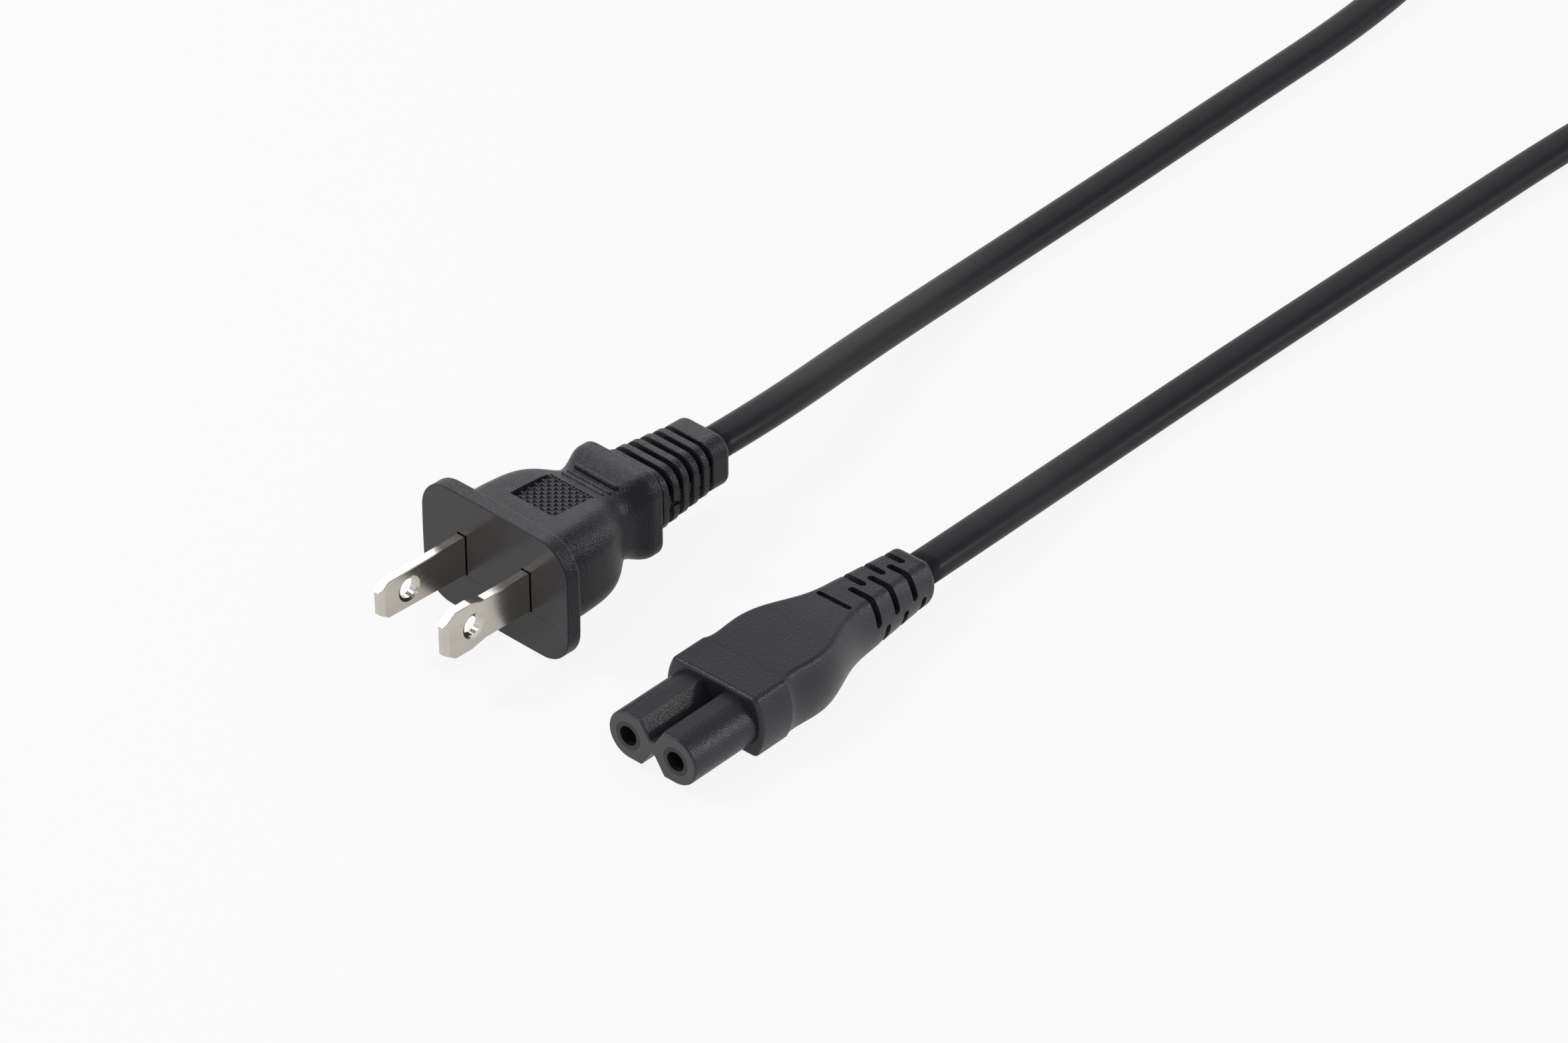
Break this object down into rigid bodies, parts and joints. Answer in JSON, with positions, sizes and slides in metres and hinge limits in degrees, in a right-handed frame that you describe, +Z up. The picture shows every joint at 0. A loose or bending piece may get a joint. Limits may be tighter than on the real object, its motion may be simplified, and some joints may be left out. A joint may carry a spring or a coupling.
{
  "type": "two-prong plug",
  "caption": "Moulded power plug with a narrow and a wide blade, knurled grips and a ringed strain relief, on a coiled flat lead that ends in a figure-eight connector.",
  "frame": {"origin": "centre of the plug's front face, midway between the prongs", "axes": "+X out of the front face along the prongs, +Y from the narrow prong to the wide one, +Z up from the surface that the plug and its lead lie on, which is at z = -9.9 mm"},
  "size_m": [0.3495, 0.0841, 0.0198],
  "materials": {
    "moulding": "satin black moulded vinyl, lightly textured",
    "prong": "nickel plated, softly polished",
    "jacket": "satin black vinyl",
    "bridge": "plain moulded",
    "carrier": "plain moulded",
    "core_dark": "plain vinyl",
    "core_light": "plain vinyl",
    "copper": "bare stranded copper",
    "contact": "bright formed strip",
    "tie": "soft black strap"
  },
  "bodies": {
    "root": {"plug_body": "moulding", "prong_bridge": "bridge", "narrow_prong": "prong", "wide_prong": "prong", "plug_jacket_end": "jacket", "plug_core_narrow": "core_dark", "plug_core_wide": "core_light", "plug_strands_narrow": "copper", "plug_strands_wide": "copper", "lead_at_plug": "jacket", "lead_coil": "jacket", "lead_at_connector": "jacket", "coil_tie": "tie", "connector_body": "moulding", "contact_carrier": "carrier", "socket_contact_left": "contact", "socket_contact_right": "contact", "connector_jacket_end": "jacket", "connector_core_left": "core_dark", "connector_core_right": "core_light", "connector_strands_left": "copper", "connector_strands_right": "copper"}
  },
  "joints": []
}
